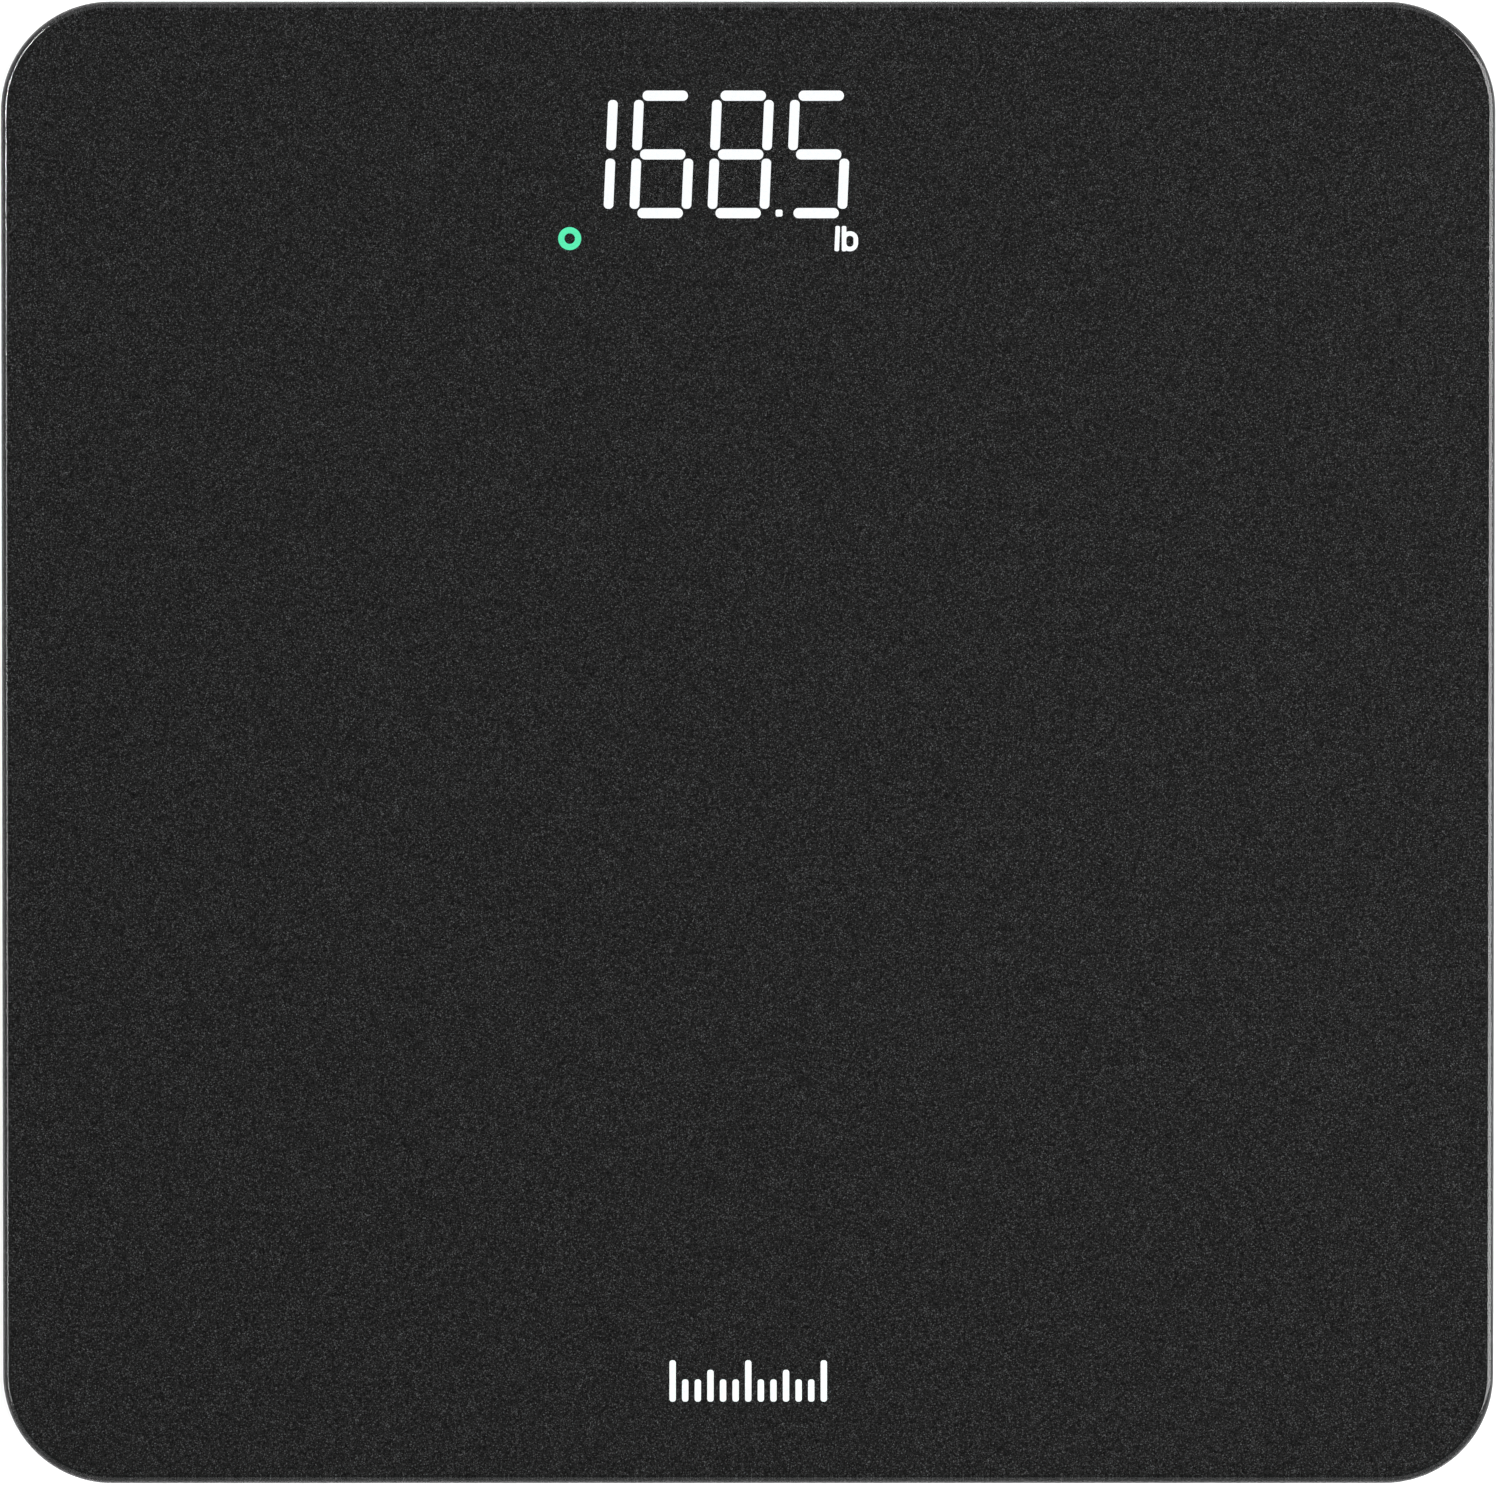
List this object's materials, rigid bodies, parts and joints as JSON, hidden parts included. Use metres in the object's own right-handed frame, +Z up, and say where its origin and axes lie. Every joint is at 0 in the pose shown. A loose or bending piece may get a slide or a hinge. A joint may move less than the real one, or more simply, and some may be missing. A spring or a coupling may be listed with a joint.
{
  "type": "bathroom scale",
  "caption": "Square digital bathroom scale: black printed glass platform with rounded corners, lit read-out with decimal point and status ring, shallow moulded base on cushioned feet.",
  "frame": {"origin": "centre of the platform's outline, on the plane the rubber feet stand on", "axes": "+Z up out of the platform, +Y towards the edge with the read-out, +X to the right of someone reading it"},
  "size_m": [0.28, 0.278, 0.025],
  "materials": {
    "glass": "clear, polished",
    "black_print": "fine glitter ink under the glass",
    "lit_white": "lit white",
    "lit_green": "lit green",
    "white_print": "screen print",
    "black_tape": "foam tape",
    "base_plastic": "fine moulded texture",
    "door_plastic": "fine moulded texture",
    "button_plastic": "smooth",
    "foot_plastic": "moulded",
    "foot_rubber": "matt",
    "label": "blank satin label",
    "cell_steel": "stamped, nickel plated",
    "silicone": "soft sealant",
    "bracket_plastic": "glass-filled nylon",
    "green_board": "solder resist",
    "screw_steel": "zinc plated",
    "reflector_white": "diffuse white",
    "diffuser_film": "frosted film",
    "gasket_foam": "open foam",
    "led_yellow": "phosphor gel",
    "black_resin": "epoxy",
    "chip_black": "moulded package",
    "can_metal": "drawn can",
    "resistor_black": "glazed chip",
    "socket_white": "nylon",
    "switch_black": "moulded",
    "plunger_black": "smooth",
    "plated_contact": "nickel plated",
    "battery_jacket": "plain printed jacket",
    "red_wire": "insulation",
    "black_wire": "insulation",
    "grey_ribbon": "insulation"
  },
  "bodies": {
    "scale": {"glass_platform": "glass", "back_print": "black_print", "lit_segments": "lit_white", "unlit_segments": "black_print", "unit_symbol": "lit_white", "status_ring": "lit_green", "front_mark": "white_print", "bonding_tape": "black_tape", "base_tray": "base_plastic", "rating_label": "label", "support_pads": "gasket_foam", "sensor_tapes": "black_tape", "main_board": "green_board", "board_screws": "screw_steel", "display_reflector": "reflector_white", "display_diffuser": "diffuser_film", "display_gasket": "gasket_foam", "led_chips": "led_yellow", "processor_blob": "black_resin", "converter_chip": "chip_black", "crystal_can": "can_metal", "filter_capacitor": "can_metal", "chip_resistors": "resistor_black", "lead_headers": "socket_white", "switch_body": "switch_black", "contact_plates": "plated_contact", "battery_springs": "plated_contact", "battery_lead_black": "black_wire", "battery_lead_red": "red_wire", "battery_1": "battery_jacket", "battery_2": "battery_jacket", "battery_3": "battery_jacket", "load_cell_front_left": "cell_steel", "gauge_seal_front_left": "silicone", "sensor_bracket_front_left": "bracket_plastic", "sensor_ribbon_front_left": "grey_ribbon", "load_cell_front_right": "cell_steel", "gauge_seal_front_right": "silicone", "sensor_bracket_front_right": "bracket_plastic", "sensor_ribbon_front_right": "grey_ribbon", "load_cell_back_left": "cell_steel", "gauge_seal_back_left": "silicone", "sensor_bracket_back_left": "bracket_plastic", "sensor_ribbon_back_left": "grey_ribbon", "load_cell_back_right": "cell_steel", "gauge_seal_back_right": "silicone", "sensor_bracket_back_right": "bracket_plastic", "sensor_ribbon_back_right": "grey_ribbon"},
    "button": {"unit_button": "button_plastic", "switch_plunger": "plunger_black"},
    "door": {"battery_door": "door_plastic"},
    "foot_front_left": {"foot_cup_front_left": "foot_plastic", "foot_pad_front_left": "foot_rubber"},
    "foot_front_right": {"foot_cup_front_right": "foot_plastic", "foot_pad_front_right": "foot_rubber"},
    "foot_back_left": {"foot_cup_back_left": "foot_plastic", "foot_pad_back_left": "foot_rubber"},
    "foot_back_right": {"foot_cup_back_right": "foot_plastic", "foot_pad_back_right": "foot_rubber"}
  },
  "joints": [
    {"name": "foot_slide_front_left", "type": "slide", "parent": "scale", "child": "foot_front_left", "axis": [0, 0, 1], "range_m": [-0.0004, 0]},
    {"name": "foot_slide_front_right", "type": "slide", "parent": "scale", "child": "foot_front_right", "axis": [0, 0, 1], "range_m": [-0.0004, 0]},
    {"name": "foot_slide_back_left", "type": "slide", "parent": "scale", "child": "foot_back_left", "axis": [0, 0, 1], "range_m": [-0.0004, 0]},
    {"name": "foot_slide_back_right", "type": "slide", "parent": "scale", "child": "foot_back_right", "axis": [0, 0, 1], "range_m": [-0.0004, 0]},
    {"name": "button_press", "type": "slide", "parent": "scale", "child": "button", "axis": [0, 0, 1], "range_m": [0, 0.0004], "stiffness_N_per_m": 3000},
    {"name": "door_hinge", "type": "hinge", "parent": "scale", "child": "door", "pos_m": [0, 0.0753, 0.0054], "axis": [1, 0, 0], "range_deg": [0, 85]}
  ]
}
